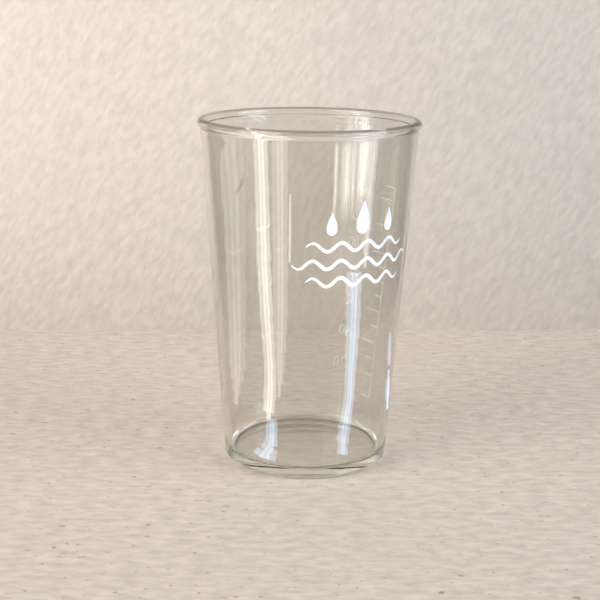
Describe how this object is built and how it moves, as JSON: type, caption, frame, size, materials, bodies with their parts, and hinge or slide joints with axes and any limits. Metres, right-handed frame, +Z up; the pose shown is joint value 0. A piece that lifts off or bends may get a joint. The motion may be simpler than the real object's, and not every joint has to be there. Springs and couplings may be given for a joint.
{
  "type": "graduated drinking glass",
  "caption": "Tapered clear drinking glass with a fire-polished bead rim, an enamel volume scale and a plain wave-and-drop ornament.",
  "frame": {"origin": "centre of the standing ring, on the glass's axis, in the plane the glass stands on", "axes": "+Z up along the glass's axis; -Y towards the viewer in the picture; +X to the viewer's right, with the scale at the back right"},
  "size_m": [0.0648, 0.0648, 0.102],
  "materials": {
    "glass": "fire-polished, clear with a faint grey-green tint",
    "enamel": "fired white enamel, satin gloss"
  },
  "bodies": {
    "root": {"glass_body": "glass", "scale_line": "enamel", "mark_10_ml": "enamel", "mark_20_ml": "enamel", "mark_30_ml": "enamel", "mark_40_ml": "enamel", "mark_50_ml": "enamel", "mark_60_ml": "enamel", "mark_70_ml": "enamel", "mark_80_ml": "enamel", "mark_90_ml": "enamel", "mark_100_ml": "enamel", "mark_110_ml": "enamel", "mark_120_ml": "enamel", "mark_130_ml": "enamel", "mark_140_ml": "enamel", "mark_150_ml": "enamel", "wave_low": "enamel", "wave_middle": "enamel", "wave_high": "enamel", "drop_left": "enamel", "drop_middle": "enamel", "drop_right": "enamel"}
  },
  "joints": []
}
